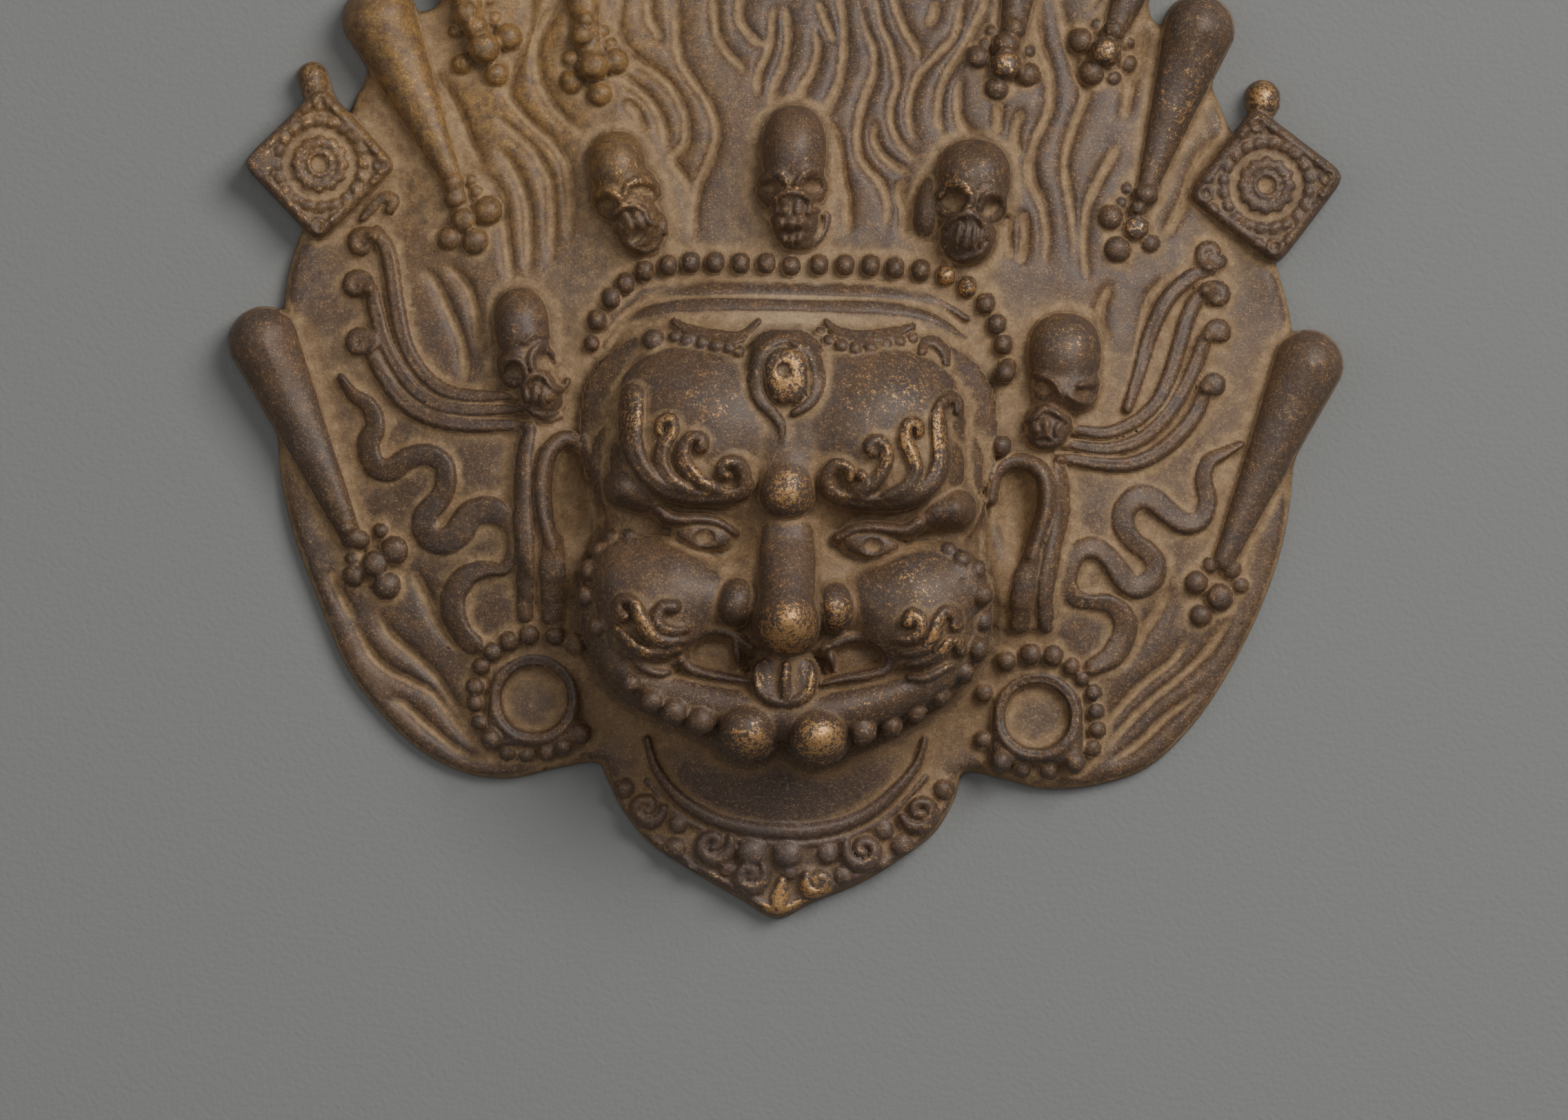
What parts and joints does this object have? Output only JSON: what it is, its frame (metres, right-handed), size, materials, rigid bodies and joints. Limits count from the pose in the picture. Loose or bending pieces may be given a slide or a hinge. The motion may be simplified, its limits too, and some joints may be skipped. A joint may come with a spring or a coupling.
{
  "type": "mahakala mask",
  "caption": "Hollow cast bronze mask of a wrathful guardian with flame clubs, skulls and jewels; lies face up on its flat back rim or hangs on a wall.",
  "frame": {"origin": "middle of the bounding box in X and Y, on the plane of the flat back rim", "axes": "+Z out of the face, +Y to the top of the crown, +X to the viewer's right"},
  "size_m": [0.2402, 0.2622, 0.0546],
  "materials": {
    "bronze": "aged brown patina, dusty in the hollows and worn golden on the high places"
  },
  "bodies": {
    "root": {"mask": "bronze"}
  },
  "joints": []
}
